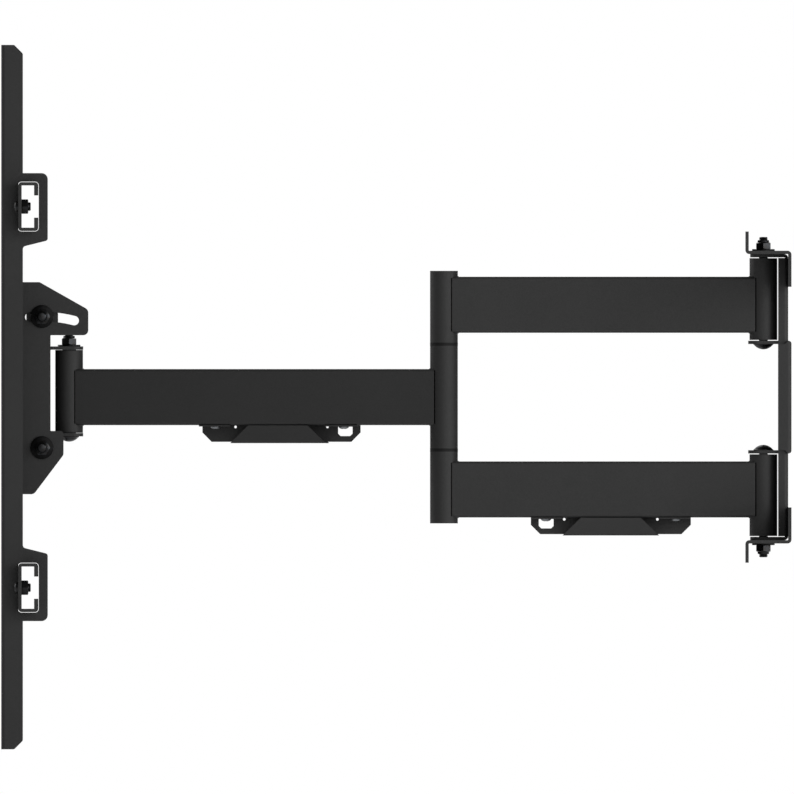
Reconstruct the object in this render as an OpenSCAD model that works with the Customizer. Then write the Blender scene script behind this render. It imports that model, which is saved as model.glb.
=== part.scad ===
// Full motion wall mount for a large television, six arms in two sets.
// Millimetres. The wall is the plane Y = 0 and the mount stands out towards -Y, with +Z up.
// The origin is the centre of the wall frame's back face. It is drawn fully extended and level.

/* [Reach] */
// Distance from the wall to the wall pivots
wall_pivot_gap = 25.3; // [24:0.1:40]
// Length of a rear arm between its pivots
rear_arm_length = 287.5; // [240:0.5:400]
// How far each wall pivot stands outboard of its head pivot
pivot_inset = 54.2; // [48:0.1:70]
// Distance between the two head pivots
head_pivot_spacing = 152; // [140:1:200]

/* [Arms] */
// Height of the centre of each rear arm above or below the middle
rear_arm_height = 83.1; // [76:0.1:110]
// Height of the rectangular arm tube
arm_tube_height = 50.5; // [40:0.5:54]
// Width of the rectangular arm tube
arm_tube_width = 21.5; // [16:0.5:22]
// Wall of the arm tube
arm_tube_wall = 2; // [1.5:0.1:3]
// Outside diameter of the pivot barrels
barrel_diameter = 25; // [24:0.1:28]
// Bore of the pivot barrels
barrel_bore = 19.2; // [18:0.1:20.4]
// Height of the barrels at the wall and at the head
end_barrel_height = 73.6; // [66:0.2:84]
// How far an end barrel reaches past its arm on the bolt head side
end_barrel_drop = 6.4; // [3:0.1:8]
// Height of the front arm's barrel at the elbow
front_elbow_height = 92.4; // [80:0.2:100]
// How far a rear elbow barrel reaches past its arm on the outer side
rear_elbow_overhang = 5.3; // [4:0.1:10]
// Diameter of the elbow pin
elbow_pin_diameter = 12; // [10:0.5:14]

/* [Wall frame] */
// Length of the two wall rails
wall_rail_length = 660; // [650:5:900]
// Depth of the wall rails from the wall to the front of the lip
wall_rail_depth = 41.5; // [40:0.5:60]
// Height of a wall rail's front lip, from the underside of its web
wall_rail_lip = 20.3; // [12:0.1:30]
// Height of a wall rail's back flange, from the top of its web
wall_rail_flange = 32.5; // [30:0.5:36]
// Width of the upright columns
column_width = 36; // [34:0.5:44]
// Depth of the upright columns
column_depth = 9; // [6:0.1:10]
// How far the column ears reach from the wall
column_ear_reach = 37.2; // [36.6:0.1:54]
// How far the tie plate ears reach from the wall
tie_ear_reach = 39; // [38:0.1:54]
// Distance between wall studs that the inner lag slots suit
stud_spacing = 406.4; // [400:0.1:420]
// Diameter of the lag screws' slots
lag_slot_width = 9; // [7:0.5:11]
// Length of the lag screws' slots
lag_slot_length = 36; // [20:1:44]

/* [Head and tilt] */
// Width of the head bracket over its side flanges
head_width = 200; // [194:1:260]
// Distance from the head pivots to the head bracket's web
head_web_gap = 16.7; // [15:0.1:22]
// How far the head bracket's ears reach past the head pivots
head_ear_overhang = 12.7; // [12:0.1:16]
// Distance from the head pivots to the tilt axis
tilt_axis_gap = 24.5; // [23:0.1:34]
// Height of the tilt axis below the middle
tilt_axis_drop = 45.5; // [44.8:0.1:50]
// Distance from the tilt axis up to the tilt lock bolts
tilt_lock_radius = 118; // [112:0.5:130]
// How far the screen tips down
tilt_down = 14; // [5:0.5:15]
// How far the screen tips up
tilt_up = 5; // [2:0.5:5]

/* [Screen side] */
// Length of the two rails that carry the screen brackets
tv_rail_length = 676; // [660:2:900]
// Height of the centre of each screen rail above or below the middle
tv_rail_height = 171.5; // [165:0.5:200]
// Height of a screen rail's section
tv_rail_tall = 44; // [40:0.5:50]
// Depth of a screen rail's section
tv_rail_deep = 18; // [16:0.1:20]
// Wall of a screen rail
tv_rail_wall = 3; // [2:0.1:3]
// Distance between the two screen brackets
bracket_spacing = 600; // [400:5:600]
// Height of the screen brackets
bracket_height = 634; // [620:1:700]
// Width of the screen brackets
bracket_width = 28; // [26:0.5:34]
// Depth of the screen brackets without their hooks
bracket_depth = 19.5; // [18:0.1:22]
// Pitch of the screw holes for the screen
screen_hole_pitch = 100; // [75:5:100]
// Diameter of the screw holes for the screen
screen_hole_diameter = 8.6; // [6:0.1:9]

/* [Steel and fasteners] */
// Thickness of the sheet steel
sheet = 3; // [2.5:0.1:3.2]
// Inside radius of the bends
bend = 0.5; // [0.4:0.1:1]
// Diameter of the bolts
bolt_diameter = 8; // [7:0.1:8.2]
// Width across flats of the nuts
nut_across_flats = 13; // [12:0.1:13.4]
// Height of a nut's hexagon
nut_height = 6; // [5:0.1:6.4]
// Height of a nut's nylon collar
nut_collar = 2.1; // [1.5:0.1:2.6]
// Thickness of the pivot washers
washer_thickness = 1.5; // [1:0.1:2]

/* [Hidden] */
$fn = 48;
cut = 1; // how far a cutting tool runs past the face it opens

// Clearances
running_fit = 0.05; // radial, a pin that turns in its bushing
press_gap = 0.1; // radial, a bushing in its barrel
bolt_gap = 0.2; // radial, a bolt in a clearance hole
seat_gap = 0.2; // between parts that slide or nest
pivot_ear_gap = 0.7; // between a barrel's end and the ear beside it
rail_gap = 0.4; // between a screen rail and the window it runs through

// Fasteners
bolt_radius = bolt_diameter / 2;
bolt_tip = 2.8; // what shows of a bolt past its nut
collar_inset = 1.3; // of a nut's collar from its flats
coach_head_radius = 9;
coach_head_height = 4.8;
washer_radius = 10.2;
tilt_washer_radius = 10.4;
tilt_washer_thickness = 1.6;
friction_disc = 0.8;
nut_stack = nut_height + nut_collar;
ear_corner = 9; // corner radius of the pivot ears
tie_ear_width = column_width - 2 * sheet - 2; // 1 mm clear of the channel at each side

// Pivots, seen from above
wall_pivot_x = head_pivot_spacing / 2 + pivot_inset;
head_pivot_x = head_pivot_spacing / 2;
wall_pivot_y = -wall_pivot_gap;
elbow_y = wall_pivot_y - rear_arm_length;
// With this length the folded arms lie flat, side by side
front_arm_length = rear_arm_length + pivot_inset;
front_arm_angle = asin(pivot_inset / front_arm_length);
head_pivot_y = elbow_y - front_arm_length * cos(front_arm_angle);

// Heights of the arms, their barrels and the ears that hold them
barrel_radius = barrel_diameter / 2;
arm_half_height = arm_tube_height / 2;
tube_corner = 2.4;
tube_corner_inside = 0.6;
wall_barrel_low = rear_arm_height - arm_half_height - end_barrel_drop;
wall_barrel_high = wall_barrel_low + end_barrel_height;
head_barrel_low = -arm_half_height - end_barrel_drop;
head_barrel_high = head_barrel_low + end_barrel_height;
front_elbow_half = front_elbow_height / 2;
elbow_ring = 2.8; // the bushing flange that shows between two elbow barrels
elbow_ring_gap = 0.02; // between that flange and the rear barrel that turns on it
rear_elbow_low = front_elbow_half + elbow_ring + elbow_ring_gap;
rear_elbow_high = rear_arm_height + arm_half_height + rear_elbow_overhang;
tie_half_height = wall_barrel_low - pivot_ear_gap;
column_half_height = wall_barrel_high + pivot_ear_gap + sheet;
rail_top = column_half_height + sheet;

bushing_length = 18;
bushing_recess = 0.4;
elbow_cap_height = 4;

// Cable trays
tray_length = 144;
tray_sheet = 1.2;
tray_depth = 16.2; // of the channel
tray_wall_depth = 15; // of the long wall
tray_channel_top = 54; // length of the channel's short wall at the arm
tray_channel_bottom = 87; // and at the floor
tray_corner = 8.4;
tray_screw_offset = 58.4;
tray_screw_radius = 2;
tray_relief = 1.2; // radius of the small holes where the tabs begin
rear_tray_y = -137.3; // tray centre from the wall pivot
front_tray_y = -149.7; // tray centre from the elbow

// Head and tilt
head_web_y = head_pivot_y - head_web_gap;
head_ear_y = head_pivot_y + head_ear_overhang;
head_ear_top = head_barrel_high + pivot_ear_gap + sheet;
head_ear_bottom = head_barrel_low - pivot_ear_gap - sheet;
tilt_y = head_pivot_y - tilt_axis_gap;
tilt_z = -tilt_axis_drop;
tilt_lock_z = tilt_z + tilt_lock_radius;
head_flange_x = head_width / 2;
tilt_plate_x = head_flange_x + friction_disc;
tilt_plate_outside = tilt_plate_x + sheet;
web_shoulder = head_ear_top + 11.5; // top of the web beside the ears
ear_relief = 6; // between the ears and the bends of the side flanges
tilt_lobe = 14; // radius of the side flanges about the tilt bolts
tongue_reach = 14.6; // of the side flanges above the web, from the tilt bolts to the wall side

// Screen side, front to back
tv_rail_web_gap = 21.2; // from the tilt axis to the screen rails' web
bracket_offset = 15.4; // from the screen rails' web to the brackets' front face
tv_rail_front = tilt_y - tv_rail_web_gap;
tv_rail_back = tv_rail_front + tv_rail_deep;
post_front = tv_rail_front - sheet;
stop_head_height = 3.4;
stop_head_radius = 4.7;
rail_bolt_tip = 2.2; // what shows of a bolt or a screw past its nut in a screen rail
bracket_front = tv_rail_front - bracket_offset;
bracket_back = bracket_front + bracket_depth;
bracket_x = bracket_spacing / 2;
stop_screw_x = tv_rail_length / 2 - 12;
post_flange = 29; // width of a tilt plate's front flange
post_leg = 6.4; // depth of its leg above and below the lobes
// A tilt plate's lobes, measured from the tilt axis and from the lock bolt
waist_reach = 7.6; // between the lobes, in line with the head bracket's web
lock_lobe_reach = 41.8;
lock_lobe_above = 31;
lock_lobe_below = 16.8;
lock_slope_start = 2;
lock_slope_end = 6.2;
axis_lobe_reach = 19.5;
axis_lobe_above = 15;
axis_lobe_below = 41.9;
axis_slope_start = 6.5;
axis_slope_end = 7.2;
rail_bolt_x = tilt_plate_outside + 13.5; // in the middle of what is left of that flange
rail_corner = 3;

// ---- Shapes that more than one piece uses ----

function unit(v) = v / norm(v);

function flat(p) = [p.x, p.y];

// Points of the arc that rounds corner b of the path a, b, c
function rounded_corner(a, b, c, radius, steps = 6) =
    let (
        to_a = unit(a - b),
        to_c = unit(c - b),
        half = acos(to_a * to_c) / 2,
        centre = b + unit(to_a + to_c) * radius / sin(half),
        start = b + to_a * radius / tan(half) - centre,
        sweep = sign(cross(b - a, c - b)) * (180 - 2 * half)
    )
    [for (i = [0:steps])
        let (t = sweep * i / steps)
        centre + [start.x * cos(t) - start.y * sin(t), start.x * sin(t) + start.y * cos(t)]];

// A closed outline from points given as [x, y, corner radius]
function rounded_outline(p) =
    let (n = len(p))
    [for (i = [0:n - 1])
        let (a = flat(p[(i + n - 1) % n]), b = flat(p[i]), c = flat(p[(i + 1) % n]))
        each p[i].z > 0 ? rounded_corner(a, b, c, p[i].z) : [b]];

// Section of sheet folded along a path, with its thickness on the path's left
function folded_sheet(path, t = sheet, r = bend) =
    let (
        last = len(path) - 1,
        along = [for (i = [0:last - 1]) unit(path[i + 1] - path[i])],
        left = [for (d = along) [-d.y, d.x]],
        turn = [for (i = [1:last - 1]) cross(along[i - 1], along[i]) > 0],
        other = [for (i = [0:last])
            i == 0 ? path[0] + left[0] * t
            : i == last ? path[last] + left[last - 1] * t
            : path[i] + (left[i - 1] + left[i]) * t / (1 + left[i - 1] * left[i])]
    )
    concat(
        [path[0]],
        [for (i = [1:last - 1])
            each rounded_corner(path[i - 1], path[i], path[i + 1], turn[i - 1] ? r + t : r)],
        [path[last], other[last]],
        [for (i = [last - 1:-1:1])
            each rounded_corner(other[i + 1], other[i], other[i - 1], turn[i - 1] ? r : r + t)],
        [other[0]]
    );

// Extrudes an outline drawn in Y and Z along X
module along_x(from, to) {
    translate([from, 0, 0]) rotate([90, 0, 90]) linear_extrude(to - from) children();
}

// Extrudes an outline drawn in X and Z along Y
module along_y(from, to) {
    translate([0, to, 0]) rotate([90, 0, 0]) linear_extrude(to - from) children();
}

// Extrudes an outline drawn in X and Y along Z
module along_z(from, to) {
    translate([0, 0, from]) linear_extrude(to - from) children();
}

module rounded_rectangle(size, radius) {
    w = size.x / 2;
    h = size.y / 2;
    polygon(rounded_outline([[-w, -h, radius], [w, -h, radius], [w, h, radius], [-w, h, radius]]));
}

// A slot with round ends, its length along the first axis
module slot(length, width) {
    square([length - width, width], center = true);
    for (side = [-1, 1]) translate([side * (length - width) / 2, 0]) circle(d = width);
}

module both_sides() {
    children();
    mirror([1, 0, 0]) children();
}

module above_and_below() {
    children();
    mirror([0, 0, 1]) children();
}

module left_side() {
    mirror([1, 0, 0]) children();
}

// Tube that a pivot turns in
module barrel(low, high, bore = barrel_bore / 2) {
    along_z(low, high) difference() {
        circle(barrel_radius);
        circle(bore);
    }
}

module ring(outer, inner, height) {
    linear_extrude(height) difference() {
        circle(outer);
        circle(inner);
    }
}

// Bolt with a low round head, the underside of the head at z = 0
module coach_bolt(grip, past_grip = nut_stack + bolt_tip) {
    dome = (pow(coach_head_radius, 2) + pow(coach_head_height, 2)) / (2 * coach_head_height);
    cylinder(r = bolt_radius, h = grip + past_grip);
    intersection() {
        translate([0, 0, dome - coach_head_height]) sphere(dome, $fn = 64);
        translate([0, 0, -coach_head_height]) cylinder(r = coach_head_radius, h = coach_head_height);
    }
}

// Nut that stands on z = 0, a corner of its hexagon towards X
module plain_nut() {
    difference() {
        cylinder(d = nut_across_flats / cos(30), h = nut_height, $fn = 6);
        translate([0, 0, -cut]) cylinder(r = bolt_radius + running_fit, h = nut_height + 2 * cut);
    }
}

// The same with a round collar for its nylon ring
module lock_nut() {
    difference() {
        union() {
            cylinder(d = nut_across_flats / cos(30), h = nut_height, $fn = 6);
            cylinder(d = nut_across_flats - 2 * collar_inset, h = nut_stack);
        }
        translate([0, 0, -cut])
            cylinder(r = bolt_radius + running_fit, h = nut_stack + 2 * cut);
    }
}

// ---- Wall frame ----

// The upper rail: back flange against the wall, web over the columns' ears, front lip up
module wall_rail() {
    lip_back = -wall_rail_depth + sheet;
    section = folded_sheet([
        [0, rail_top - wall_rail_flange],
        [0, rail_top],
        [lip_back, rail_top],
        [lip_back, rail_top - sheet + wall_rail_lip]
    ]);
    slot_z = rail_top - sheet - (wall_rail_flange - sheet) / 2;
    slot_step = stud_spacing / 8;
    slots = [for (side = [-1, 1], step = [1, 4, 5, 6]) side * step * slot_step];
    color("#353535") difference() {
        along_x(-wall_rail_length / 2, wall_rail_length / 2) polygon(section);
        along_y(-sheet - cut, cut) for (x = slots)
            translate([x, slot_z]) slot(lag_slot_length, lag_slot_width);
        for (side = [-1, 1]) translate([side * wall_pivot_x, wall_pivot_y, rail_top - sheet - cut])
            cylinder(r = bolt_radius + bolt_gap, h = sheet + 2 * cut);
    }
}

// Plan of a pair of pivot ears that reach forward from the wall
module ear_plan(width, reach) {
    half = width / 2;
    polygon(rounded_outline([
        [-half, 0, 0], [half, 0, 0], [half, -reach, ear_corner], [-half, -reach, ear_corner]
    ]));
}

// A strip whose ends fold forward into ears, from a back face at y = back
module eared_strip(back, reach, half_height, width) {
    path = [[-reach, -half_height], [back, -half_height], [back, half_height], [-reach, half_height]];
    intersection() {
        along_x(-width / 2, width / 2) polygon(folded_sheet(path));
        along_z(-half_height, half_height) ear_plan(width, reach);
    }
}

// Upright channel whose web bends forward at both ends into the outer pivot ears
module wall_column() {
    half = column_width / 2;
    back = -sheet;
    front = back - column_depth;
    channel = folded_sheet([[half, front], [half, back], [-half, back], [-half, front]]);
    channel_half_height = column_half_height - sheet - bend;
    ear_bend = sheet + bend;
    color("#353535") translate([wall_pivot_x, 0, 0]) difference() {
        union() {
            along_z(-channel_half_height, channel_half_height) polygon(channel);
            eared_strip(back, column_ear_reach, column_half_height, column_width - 2 * sheet);
        }
        // The tie plate's ears come through the web, bends and all
        along_y(back - sheet - cut, back + cut) for (side = [-1, 1])
            translate([0, side * (tie_half_height - ear_bend / 2)])
                square([tie_ear_width + 2 * seat_gap, ear_bend + 2 * seat_gap], center = true);
        translate([0, wall_pivot_y, -column_half_height - cut])
            cylinder(r = bolt_radius + bolt_gap, h = 2 * column_half_height + 2 * cut);
    }
}

// Middle plate that joins the columns, with the inner pivot ears folded out of it
module wall_tie_plate() {
    side_x = wall_pivot_x + column_width / 2 + seat_gap + sheet;
    flange_past_column = 0.1;
    front = -sheet - column_depth - flange_past_column;
    flange_top = tie_half_height - sheet;
    corner = 0.9 * sheet;
    tray = folded_sheet([[side_x, front], [side_x, 0], [-side_x, 0], [-side_x, front]]);
    side_view = rounded_outline([
        [front - cut, -flange_top, 0], [-2 * sheet, -flange_top, 0],
        [-sheet, -tie_half_height, 0], [0, -tie_half_height, corner],
        [0, tie_half_height, corner], [-sheet, tie_half_height, 0],
        [-2 * sheet, flange_top, 0], [front - cut, flange_top, 0]
    ]);
    opening = [56, 50];
    color("#353535") difference() {
        union() {
            intersection() {
                along_z(-tie_half_height, tie_half_height) polygon(tray);
                along_x(-side_x, side_x) polygon(side_view);
            }
            both_sides() translate([wall_pivot_x, 0, 0])
                eared_strip(0, tie_ear_reach, tie_half_height, tie_ear_width);
        }
        both_sides() translate([wall_pivot_x, wall_pivot_y, -tie_half_height - cut])
            cylinder(r = bolt_radius + bolt_gap, h = 2 * tie_half_height + 2 * cut);
        both_sides() along_y(-sheet - cut, cut)
            translate([wall_pivot_x / 2, 0]) rounded_rectangle(opening, 8);
    }
}

module at_wall_pivots() {
    both_sides() above_and_below() translate([wall_pivot_x, wall_pivot_y, 0]) children();
}

// Each clamps a rail and a column ear, with its head under the tie plate's ear
module wall_pivot_bolts() {
    head = tie_half_height - sheet;
    color("#202020") at_wall_pivots() translate([0, 0, head])
        coach_bolt(rail_top + washer_thickness - head);
}

module wall_pivot_washers() {
    color("#202020") at_wall_pivots() translate([0, 0, rail_top])
        ring(washer_radius, bolt_radius + bolt_gap, washer_thickness);
}

module wall_pivot_nuts() {
    color("#202020") at_wall_pivots() translate([0, 0, rail_top + washer_thickness]) lock_nut();
}

// ---- Arms, each drawn from its wall side pivot towards -Y ----

// Rolled section of an arm, its edges rounded inside and out
module tube_section() {
    difference() {
        rounded_rectangle([arm_tube_width, arm_tube_height], tube_corner);
        rounded_rectangle(
            [arm_tube_width - 2 * arm_tube_wall, arm_tube_height - 2 * arm_tube_wall],
            tube_corner_inside
        );
    }
}

// Rectangular tube welded between two barrels
module welded_arm(length, tube_z, wall_end, far_end) {
    weld = 0.6; // how far the coped tube runs into a barrel's wall
    seam_width = 0.5; // of the groove left open beside each barrel
    seam_depth = 0.9;
    inside_seams = arm_tube_width - 2 * seam_depth;
    difference() {
        union() {
            difference() {
                along_y(-length, 0) translate([0, tube_z]) tube_section();
                for (y = [0, -length]) translate([0, y, 0])
                    along_z(tube_z - arm_tube_height, tube_z + arm_tube_height) {
                        circle(barrel_radius - weld);
                        difference() {
                            circle(barrel_radius + seam_width);
                            square([inside_seams, 4 * barrel_radius], center = true);
                        }
                    }
            }
            barrel(wall_end[0], wall_end[1]);
            translate([0, -length, 0]) barrel(far_end[0], far_end[1]);
        }
        children();
    }
}

// Holes for the two cable tray screws in the underside of a tube
module tray_screw_holes(tray_y, tube_bottom) {
    for (side = [-1, 1]) translate([0, tray_y + side * tray_screw_offset, tube_bottom - cut])
        cylinder(r = tray_screw_radius + bolt_gap, h = arm_tube_wall + 2 * cut);
}

module at_wall_pivot() {
    translate([wall_pivot_x, wall_pivot_y, 0]) children();
}

module at_elbow() {
    translate([wall_pivot_x, elbow_y, 0]) rotate([0, 0, -front_arm_angle]) children();
}

module rear_arm_upper() {
    color("#353535") at_wall_pivot() welded_arm(
        rear_arm_length, rear_arm_height,
        [wall_barrel_low, wall_barrel_high], [rear_elbow_low, rear_elbow_high]
    );
}

module rear_arm_lower() {
    color("#353535") at_wall_pivot() welded_arm(
        rear_arm_length, -rear_arm_height,
        [-wall_barrel_high, -wall_barrel_low], [-rear_elbow_high, -rear_elbow_low]
    ) tray_screw_holes(rear_tray_y, -rear_arm_height - arm_half_height);
}

module front_arm() {
    color("#2f2f2f") at_elbow() welded_arm(
        front_arm_length, 0,
        [-front_elbow_half, front_elbow_half], [head_barrel_low, head_barrel_high]
    ) tray_screw_holes(front_tray_y, -arm_half_height);
}

// Plain nylon bushing for one end of a barrel
module bushing(bore) {
    ring(barrel_bore / 2 - press_gap, bore, bushing_length);
}

// Two in every rear barrel
module rear_bushings() {
    color("#1b1b1b") above_and_below() {
        at_wall_pivot() for (z = [
            wall_barrel_low + bushing_recess,
            wall_barrel_high - bushing_recess - bushing_length
        ]) translate([0, 0, z]) bushing(bolt_radius + running_fit);
        at_elbow() for (z = [
            rear_elbow_low + bushing_recess,
            rear_elbow_high - elbow_cap_height - bushing_recess - bushing_length
        ]) translate([0, 0, z]) bushing(elbow_pin_diameter / 2 + running_fit);
    }
}

// The pin runs through all three elbow barrels
module elbow_pin() {
    half = rear_elbow_high - elbow_cap_height - 1;
    color("#202020") at_elbow() along_z(-half, half) circle(elbow_pin_diameter / 2);
}

// Moulded plugs that close the elbow, flush with the barrels' ends
module elbow_caps() {
    rim = 1.6;
    color("#1b1b1b") at_elbow() above_and_below()
        translate([0, 0, rear_elbow_high - elbow_cap_height]) difference() {
            cylinder(r = barrel_bore / 2 - press_gap, h = elbow_cap_height);
            translate([0, 0, -cut])
                cylinder(r = barrel_bore / 2 - press_gap - rim, h = elbow_cap_height - rim + cut);
        }
}

// Flanged bushings of the front arm, their flanges the dark rings of the elbow
module elbow_bushings() {
    bore = elbow_pin_diameter / 2 + running_fit;
    color("#1b1b1b") at_elbow() above_and_below()
        translate([0, 0, front_elbow_half - bushing_length]) {
            bushing(bore);
            translate([0, 0, bushing_length]) ring(barrel_radius - seat_gap, bore, elbow_ring);
        }
}

module head_bushings() {
    color("#1b1b1b") translate([head_pivot_x, head_pivot_y, 0]) for (z = [
        head_barrel_low + bushing_recess,
        head_barrel_high - bushing_recess - bushing_length
    ]) translate([0, 0, z]) bushing(bolt_radius + running_fit);
}

// ---- Cable trays ----

// Hangs under z = 0 with its window towards +Y: a long wall on the inboard side, two tabs under
// the arm, and a floor that turns up into a shorter wall on the outboard side
module cable_tray() {
    half = tray_length / 2;
    floor_half = tray_channel_bottom / 2;
    side = arm_tube_width / 2;
    fold = 1.6; // outside radius of the floor's bends
    window = [13.3, 8.4];
    window_y = half - 13.8;
    window_z = -1.4 - window.y / 2;
    cropped = 2.2; // cut off the window's two lower corners
    relief_in = tray_relief + 0.4;
    difference() {
        union() {
            along_x(-side, -side + tray_sheet) difference() {
                polygon([
                    [-half, 0], [half, 0], [half, -tray_wall_depth + tray_corner],
                    [half - tray_corner, -tray_wall_depth],
                    [-half + tray_corner, -tray_wall_depth],
                    [-half, -tray_wall_depth + tray_corner]
                ]);
                translate([window_y, window_z]) polygon([
                    [-window.x / 2, window.y / 2], [window.x / 2, window.y / 2],
                    [window.x / 2, -window.y / 2 + cropped],
                    [window.x / 2 - cropped, -window.y / 2],
                    [-window.x / 2 + cropped, -window.y / 2],
                    [-window.x / 2, -window.y / 2 + cropped]
                ]);
            }
            for (end = [-1, 1]) translate([0, end * (half + tray_channel_bottom / 2) / 2, 0])
                along_z(-tray_sheet, 0)
                    square([2 * side, half - tray_channel_bottom / 2], center = true);
            intersection() {
                along_y(-floor_half, floor_half) difference() {
                    translate([0, cut - tray_depth / 2])
                        rounded_rectangle([2 * side, tray_depth + 2 * cut], fold);
                    translate([tray_sheet - side, tray_sheet - tray_depth])
                        square([2 * (side - tray_sheet), tray_depth + 2 * cut]);
                }
                along_x(-side - cut, side + cut) polygon([
                    [-tray_channel_top / 2, -seat_gap], [tray_channel_top / 2, -seat_gap],
                    [floor_half, -tray_depth], [floor_half, -tray_depth - cut],
                    [-floor_half, -tray_depth - cut], [-floor_half, -tray_depth]
                ]);
            }
        }
        for (end = [-1, 1]) {
            translate([0, end * tray_screw_offset, -tray_sheet - cut])
                cylinder(r = tray_screw_radius + bolt_gap, h = tray_sheet + 2 * cut);
            along_x(-side - cut, -side + tray_sheet + cut)
                translate([end * (floor_half - relief_in), -relief_in]) circle(tray_relief);
        }
    }
}

// Two pan head screws up through the tabs
module tray_screws() {
    head_radius = 4.6;
    head_height = 2.4;
    past_tube = 4;
    for (end = [-1, 1]) translate([0, end * tray_screw_offset, -tray_sheet]) {
        translate([0, 0, -head_height]) cylinder(r = head_radius, h = head_height);
        cylinder(r = tray_screw_radius, h = tray_sheet + arm_tube_wall + past_tube);
    }
}

// The rear trays turn round so that their windows face the elbow
module at_rear_tray() {
    at_wall_pivot() translate([0, rear_tray_y, -rear_arm_height - arm_half_height])
        mirror([0, 1, 0]) children();
}

module at_front_tray() {
    at_elbow() translate([0, front_tray_y, -arm_half_height]) children();
}

module rear_cable_tray() {
    color("#303030") at_rear_tray() cable_tray();
}

module front_cable_tray() {
    color("#303030") at_front_tray() cable_tray();
}

module rear_tray_screws() {
    color("#202020") at_rear_tray() tray_screws();
}

module front_tray_screws() {
    color("#202020") at_front_tray() tray_screws();
}

// ---- Head ----

// Side view of the head bracket's web and side flanges
module head_side_view() {
    front = tilt_y - tilt_lobe;
    back = tilt_y + tongue_reach;
    tongue_top = tilt_lock_z + tilt_lobe;
    polygon(rounded_outline([
        [front, tilt_z, 0], [front, tongue_top, tilt_lobe - 2], [back, tongue_top, tilt_lobe - 2],
        [back, web_shoulder, 1.5], [head_web_y, web_shoulder, 0], [head_web_y, head_ear_bottom, 0],
        [tilt_y, head_ear_bottom, 0], [tilt_y, tilt_z, 0]
    ]));
    translate([tilt_y, tilt_z]) circle(tilt_lobe);
}

// One folded blank: web, two ears across it and a flange at each side
module head_bracket() {
    flange_front = tilt_y - tilt_lobe;
    web_front = head_web_y - sheet;
    ear_half = head_flange_x - sheet - ear_relief;
    cable_opening = [76, 40];
    lobe_spans = [
        [tilt_z - tilt_lobe, head_ear_bottom], [web_shoulder, tilt_lock_z + tilt_lobe]
    ];
    plan = folded_sheet([
        [head_flange_x, flange_front], [head_flange_x, head_web_y],
        [-head_flange_x, head_web_y], [-head_flange_x, flange_front]
    ]);
    eared_web = folded_sheet([
        [head_ear_y, head_ear_top], [web_front, head_ear_top],
        [web_front, head_ear_bottom], [head_ear_y, head_ear_bottom]
    ]);
    ears_plan = rounded_outline([
        [-ear_half, web_front, 0], [ear_half, web_front, 0],
        [ear_half, head_ear_y, ear_corner], [-ear_half, head_ear_y, ear_corner]
    ]);
    color("#353535") difference() {
        union() {
            difference() {
                intersection() {
                    along_x(-head_flange_x, head_flange_x) head_side_view();
                    union() {
                        along_z(head_ear_bottom, web_shoulder) polygon(plan);
                        both_sides() for (span = lobe_spans) along_z(span[0], span[1])
                            translate([head_flange_x - sheet, flange_front])
                                square([sheet, tilt_lobe + tongue_reach]);
                    }
                }
                // The ears fold out of the middle of the web, between two relief notches
                along_y(web_front - cut, head_web_y + cut)
                    translate([0, (head_ear_top + head_ear_bottom) / 2])
                        square([2 * ear_half - 2, 2 * web_shoulder], center = true);
            }
            intersection() {
                along_x(-ear_half, ear_half) polygon(eared_web);
                along_z(head_ear_bottom, head_ear_top) polygon(ears_plan);
            }
        }
        both_sides() translate([head_pivot_x, head_pivot_y, head_ear_bottom - cut])
            cylinder(r = bolt_radius + bolt_gap, h = head_ear_top - head_ear_bottom + 2 * cut);
        along_x(-head_flange_x - cut, head_flange_x + cut) for (z = [tilt_z, tilt_lock_z])
            translate([tilt_y, z]) circle(bolt_radius + bolt_gap);
        along_y(web_front - cut, head_web_y + cut)
            translate([0, (head_ear_top + head_ear_bottom) / 2])
                rounded_rectangle(cable_opening, 8);
    }
}

module at_head_pivots(z) {
    both_sides() translate([head_pivot_x, head_pivot_y, z]) children();
}

module head_pivot_bolts() {
    color("#202020") at_head_pivots(head_ear_bottom)
        coach_bolt(head_ear_top - head_ear_bottom + washer_thickness);
}

module head_pivot_washers() {
    color("#202020") at_head_pivots(head_ear_top)
        ring(washer_radius, bolt_radius + bolt_gap, washer_thickness);
}

module head_pivot_nuts() {
    color("#202020") at_head_pivots(head_ear_top + washer_thickness) lock_nut();
}

// Spacer on the left head bolt, loose inside the left arm's barrel
module head_pivot_sleeve() {
    wall = 2.2;
    low = head_ear_bottom + sheet;
    color("#202020") translate([-head_pivot_x, head_pivot_y, low])
        ring(bolt_radius + wall, bolt_radius + running_fit, head_ear_top - sheet - low);
}

// Places a piece that points along +Z on the four tilt bolts, pointing outboard from x
module at_tilt_bolts(x) {
    both_sides() for (z = [tilt_z, tilt_lock_z])
        translate([x, tilt_y, z]) rotate([0, 90, 0]) rotate([0, 0, 90]) children();
}

module tilt_bolts() {
    color("#202020") at_tilt_bolts(head_flange_x - sheet)
        coach_bolt(2 * sheet + friction_disc + tilt_washer_thickness);
}

module tilt_friction_discs() {
    color("#1b1b1b") at_tilt_bolts(head_flange_x)
        ring(tilt_washer_radius, bolt_radius + running_fit, friction_disc);
}

module tilt_washers() {
    color("#202020") at_tilt_bolts(tilt_plate_outside)
        ring(tilt_washer_radius, bolt_radius + running_fit, tilt_washer_thickness);
}

module tilt_nuts() {
    color("#202020") at_tilt_bolts(tilt_plate_outside + tilt_washer_thickness) lock_nut();
}

// ---- Screen side ----

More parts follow.
